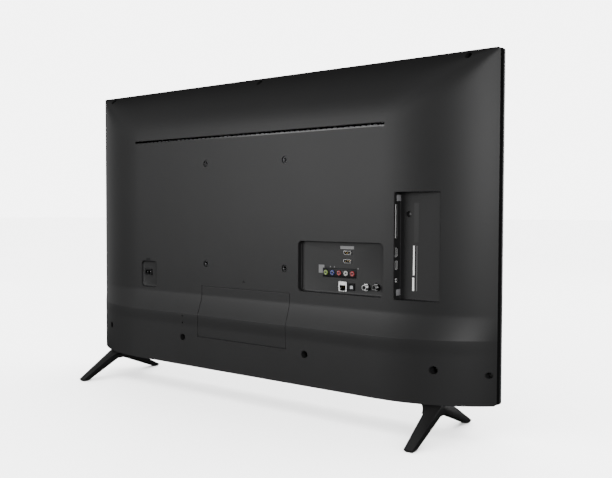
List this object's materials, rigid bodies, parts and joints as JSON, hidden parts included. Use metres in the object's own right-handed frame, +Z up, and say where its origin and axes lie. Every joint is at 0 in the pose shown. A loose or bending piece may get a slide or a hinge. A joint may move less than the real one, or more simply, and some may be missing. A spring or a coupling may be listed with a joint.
{
  "type": "flat screen tv",
  "caption": "Flat screen television with a bulged dark grey rear cover, rear and side socket recesses, a square wall-mount pattern and two V-shaped feet.",
  "frame": {"origin": "on the floor, under the middle of the feet and of the body's width", "axes": "+Z up, the screen faces -Y, +X to the viewer's right when facing the screen"},
  "size_m": [0.977, 0.218, 0.635],
  "materials": {
    "cover": "dark grey, fine moulded grain",
    "access": "dark grey, fine moulded grain",
    "bezel": "black, satin",
    "screen": "dark, anti-glare",
    "inner_plastic": "black, plain",
    "film": "white film",
    "light_bar": "white lacquer",
    "lens": "clear acrylic",
    "steel": "galvanised",
    "brass": "plain",
    "screws": "zinc plated",
    "dark_screws": "black zinc",
    "green_board": "solder mask",
    "brown_board": "phenolic board",
    "blue_board": "solder mask",
    "heat_sink": "grey anodised",
    "transformer": "yellow tape",
    "capacitor": "shrink sleeve",
    "cable": "flat cable",
    "speaker": "black",
    "ir": "dark red",
    "button": "black",
    "socket_metal": "nickel plated",
    "socket_black": "black",
    "shutter": "grey",
    "card": "grey",
    "gasket": "conductive cloth over foam",
    "rca_green": "yellow green",
    "rca_blue": "blue",
    "rca_red": "red",
    "rca_white": "white",
    "foot": "black, satin",
    "pads": "black"
  },
  "bodies": {
    "set": {"rear_cover": "cover", "front_bezel": "bezel", "lcd_panel": "screen", "middle_frame": "inner_plastic", "optical_sheets": "film", "diffuser_plate": "film", "reflector_sheet": "film", "led_bars": "light_bar", "led_lenses": "lens", "back_chassis": "steel", "vesa_posts": "steel", "board_standoffs": "brass", "board_screws": "screws", "main_board": "green_board", "heat_sink": "heat_sink", "power_board": "brown_board", "transformers": "transformer", "capacitors": "capacitor", "power_inlet": "socket_black", "tcon_board": "green_board", "panel_ribbon": "cable", "power_harness": "cable", "wifi_module": "blue_board", "left_speaker": "speaker", "right_speaker": "speaker", "speaker_drivers": "speaker", "key_board": "green_board", "ir_window": "ir", "hdmi_sockets": "socket_metal", "rca_block_body": "socket_black", "rca_tubes": "socket_metal", "rca_ring_green": "rca_green", "rca_ring_blue": "rca_blue", "rca_rings_red": "rca_red", "rca_ring_white": "rca_white", "network_jack": "socket_metal", "optical_socket": "socket_black", "antenna_socket": "socket_metal", "satellite_socket": "socket_metal", "card_slot": "card", "side_hdmi_socket": "socket_metal", "usb_socket": "socket_metal", "audio_jack": "socket_black", "grounding_pads": "gasket", "left_foot": "foot", "right_foot": "foot", "foot_pads": "pads", "foot_brackets": "steel", "foot_screws": "dark_screws", "cover_screws": "dark_screws"},
    "access_cover": {"access_cover": "access"},
    "power_button": {"power_button": "button"},
    "optical_shutter": {"optical_shutter": "shutter"}
  },
  "joints": [
    {"name": "power_press", "type": "slide", "parent": "set", "child": "power_button", "axis": [0, 0, 1], "range_m": [0, 0.001], "stiffness_N_per_m": 1500},
    {"name": "shutter_swing", "type": "hinge", "parent": "set", "child": "optical_shutter", "pos_m": [-0.2415, 0.0236, 0.243], "axis": [-1, 0, 0], "range_deg": [0, 80], "stiffness_Nm_per_rad": 0.001},
    {"name": "access_cover_pull", "type": "slide", "parent": "set", "child": "access_cover", "axis": [0, 1, 0], "range_m": [0, 0.1]}
  ]
}
